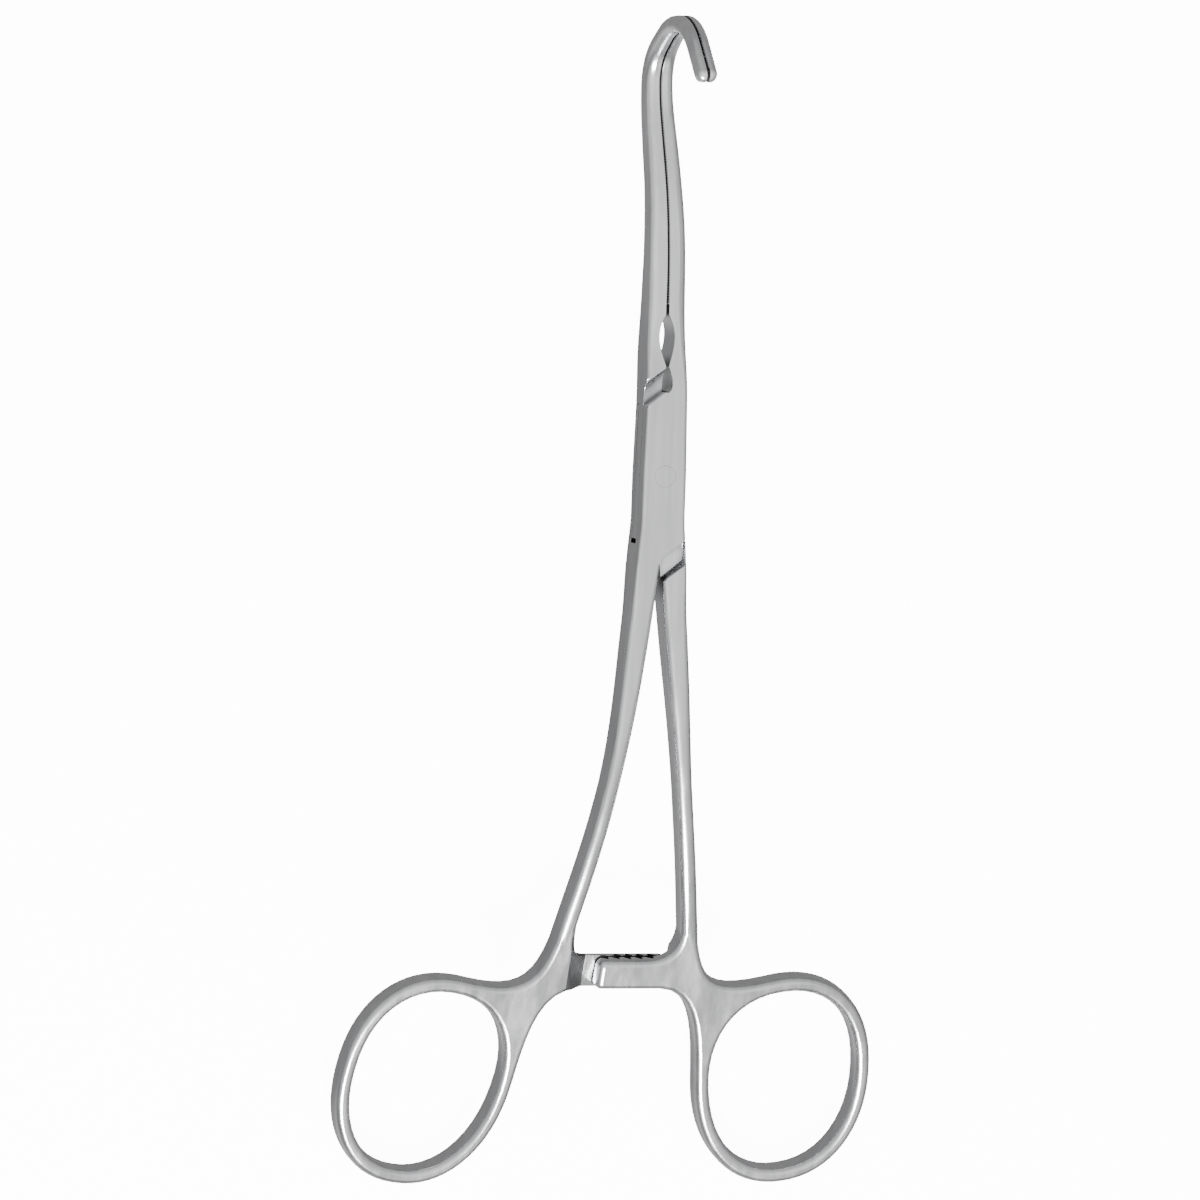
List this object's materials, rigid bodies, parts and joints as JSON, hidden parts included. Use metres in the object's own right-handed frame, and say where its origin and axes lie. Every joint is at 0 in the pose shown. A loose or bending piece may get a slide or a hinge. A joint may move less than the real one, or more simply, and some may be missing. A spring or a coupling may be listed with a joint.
{
  "type": "vena cava clamp",
  "caption": "Finger-ring clamp with a box lock, long slim jaws that end in an upturned hook, an oval gap above the lock and an overlapping ratchet between bent handles.",
  "frame": {"origin": "on the pivot axis at the flat underside of the box lock, the pin's ground end", "axes": "+Y along the jaws toward the hooked tip, +Z along the pivot axis toward the side that the hook turns up to, +X to the right across the jaws"},
  "size_m": [0.0854, 0.1767, 0.0353],
  "materials": {
    "box_half": "satin",
    "tongue_half": "satin",
    "pivot_pin": "satin"
  },
  "bodies": {
    "box_arm": {"box_half": "box_half", "pivot_pin": "pivot_pin"},
    "tongue_arm": {"tongue_half": "tongue_half"}
  },
  "joints": [
    {"name": "box_lock", "type": "hinge", "parent": "box_arm", "child": "tongue_arm", "pos_m": [0, 0, 0], "axis": [0, 0, 1], "range_deg": [0, 40]}
  ]
}
